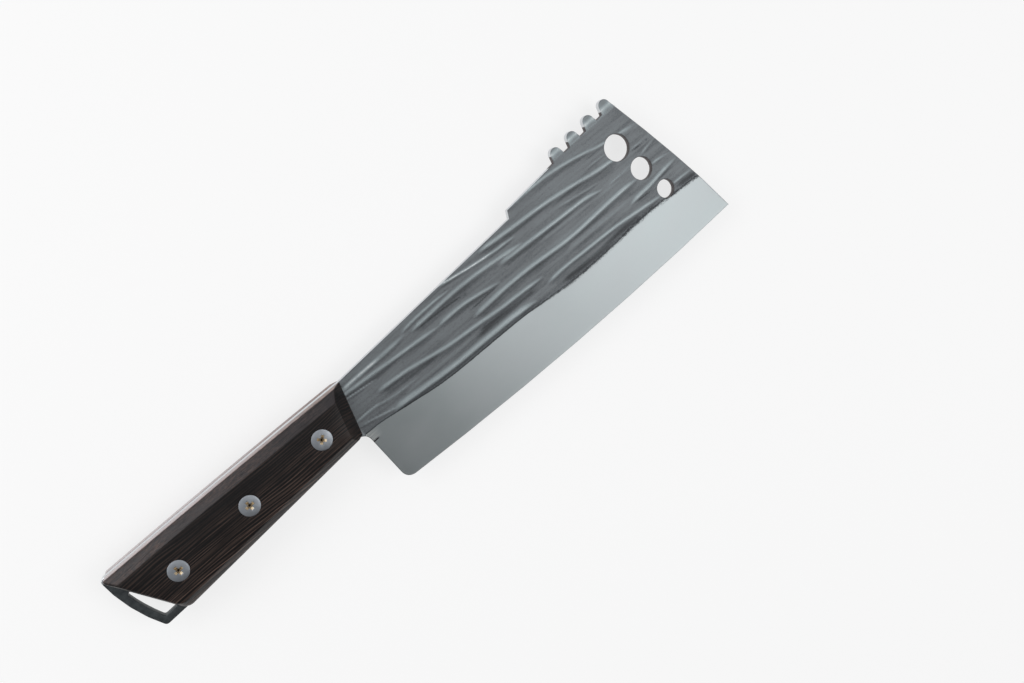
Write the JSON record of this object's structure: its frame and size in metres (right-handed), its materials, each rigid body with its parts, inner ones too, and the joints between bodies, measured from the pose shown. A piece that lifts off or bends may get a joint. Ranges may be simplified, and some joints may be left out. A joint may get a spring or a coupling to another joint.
{
  "type": "kitchen knife",
  "caption": "Forged kitchen knife with a wide holed blade, scaling teeth, a full tang with a hanging loop and screwed wooden scales.",
  "frame": {"origin": "under the middle of the knife's box, on the surface that its back face lies on", "axes": "+X from the hanging loop to the tip, +Y to the spine, +Z out of the front face"},
  "size_m": [0.3134, 0.0772, 0.02],
  "materials": {
    "blade_steel": "dark forged flutes over a satin ground bevel",
    "handle_wood": "oiled dark wood with a fine straight grain",
    "fastener_steel": "satin"
  },
  "bodies": {
    "root": {"blade": "blade_steel", "front_scale": "handle_wood", "back_scale": "handle_wood", "front_screw": "fastener_steel", "middle_screw": "fastener_steel", "rear_screw": "fastener_steel", "front_nut": "fastener_steel", "middle_nut": "fastener_steel", "rear_nut": "fastener_steel"}
  },
  "joints": []
}
